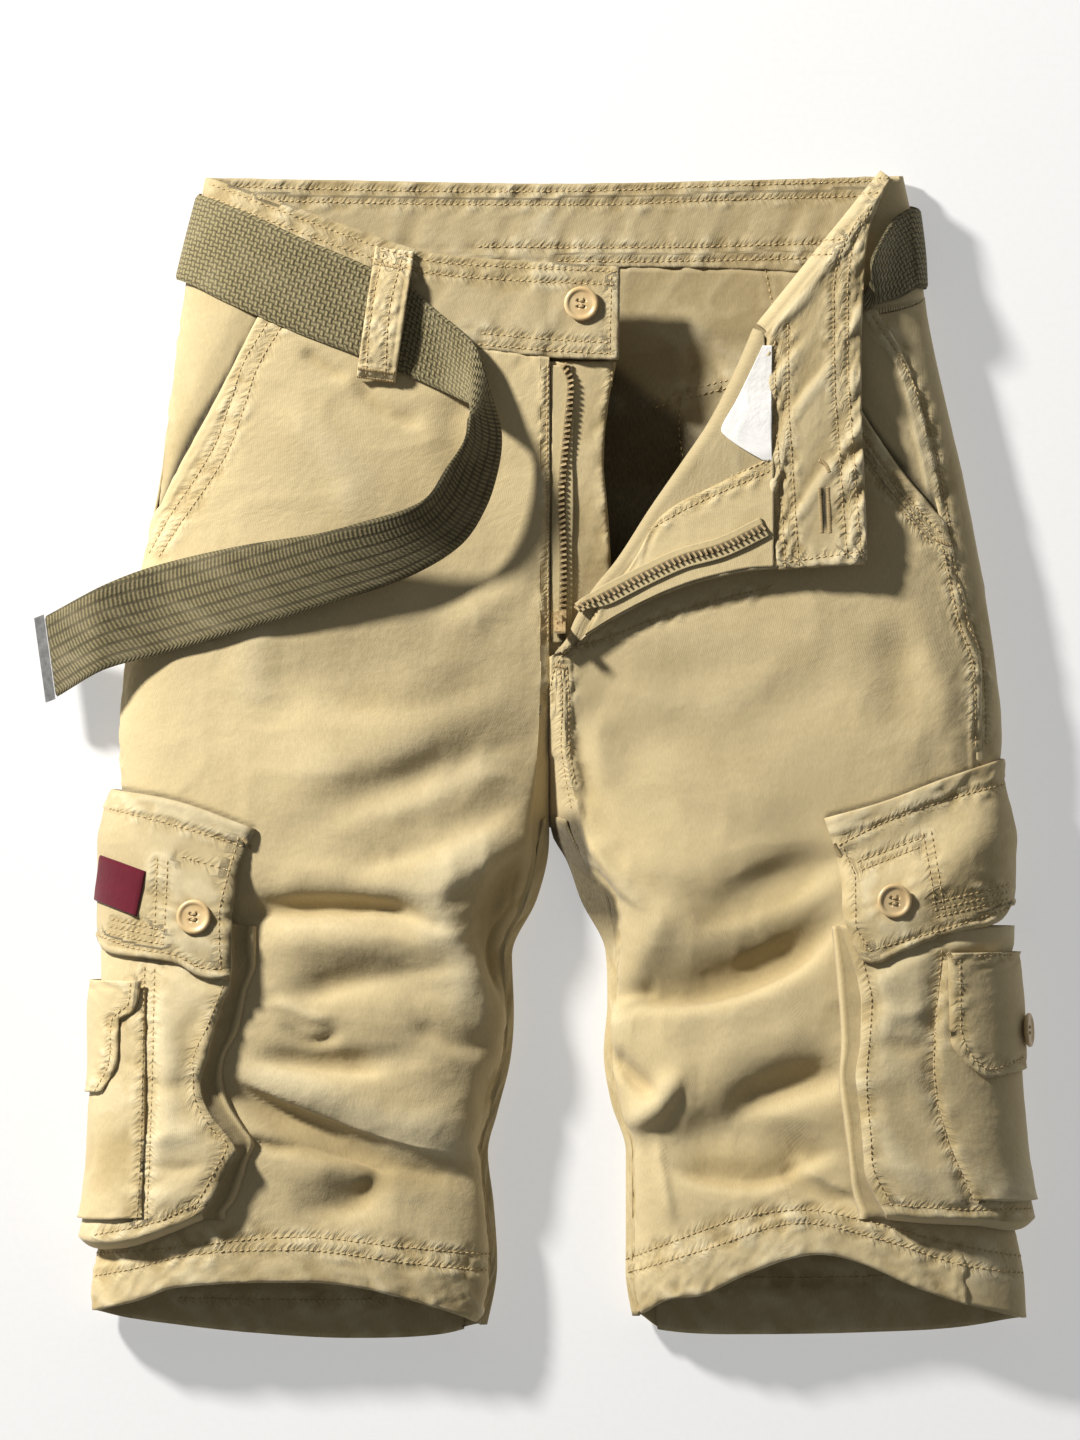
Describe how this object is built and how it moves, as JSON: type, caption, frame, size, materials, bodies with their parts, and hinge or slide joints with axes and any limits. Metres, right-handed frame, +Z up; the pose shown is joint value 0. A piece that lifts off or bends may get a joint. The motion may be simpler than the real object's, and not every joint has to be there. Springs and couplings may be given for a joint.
{
  "type": "cargo shorts",
  "caption": "Knee-length cargo shorts laid flat on their back, fly open with one front corner turned over, bellows pockets and a loose webbing belt.",
  "frame": {"origin": "on the back's underside, 60 mm above the crotch level and 4 mm to the right of the centre-back seam", "axes": "+Z up off the surface the shorts lie on, +Y towards the waist, +X to the viewer's right when looking down at the front"},
  "size_m": [0.5395, 0.6288, 0.0813],
  "materials": {
    "khaki_twill": "matt washed cotton twill",
    "olive_webbing": "matt woven cotton webbing",
    "antique_brass": "darkened brass",
    "zip_tape": "matt woven tape",
    "button_resin": "moulded resin",
    "tip_steel": "satin",
    "label_burgundy": "matt woven label",
    "pocket_cotton": "matt plain cotton"
  },
  "bodies": {
    "shorts": {"front_left": "khaki_twill", "front_right": "khaki_twill", "back_left": "khaki_twill", "back_right": "khaki_twill", "pocket_facing_left": "khaki_twill", "pocket_facing_right": "khaki_twill", "waistband_front_left": "khaki_twill", "waistband_back": "khaki_twill", "waistband_front_right": "khaki_twill", "fly_shield": "khaki_twill", "fly_facing_right": "khaki_twill", "cargo_pocket_left": "khaki_twill", "cargo_pocket_right": "khaki_twill", "cargo_flap_left": "khaki_twill", "cargo_flap_right": "khaki_twill", "side_pocket_left": "khaki_twill", "side_pocket_right": "khaki_twill", "side_flap_left": "khaki_twill", "side_flap_right": "khaki_twill", "belt_loop": "khaki_twill", "pocket_bag": "pocket_cotton", "zip_tape_left": "zip_tape", "zip_tape_right": "zip_tape", "zip_slider": "antique_brass", "waist_button": "button_resin", "cargo_button_left": "button_resin", "cargo_button_right": "button_resin", "side_button_right": "button_resin", "belt_strap": "olive_webbing", "belt_back": "olive_webbing", "belt_tip": "tip_steel", "belt_buckle": "tip_steel", "brand_label_plain": "label_burgundy"},
    "pull_tab": {"zip_pull": "antique_brass"}
  },
  "joints": [
    {"name": "pull_tab_hinge", "type": "hinge", "parent": "shorts", "child": "pull_tab", "pos_m": [0.0025, 0.041, 0.04178], "axis": [-1, 0, 0], "range_deg": [0, 102]}
  ]
}
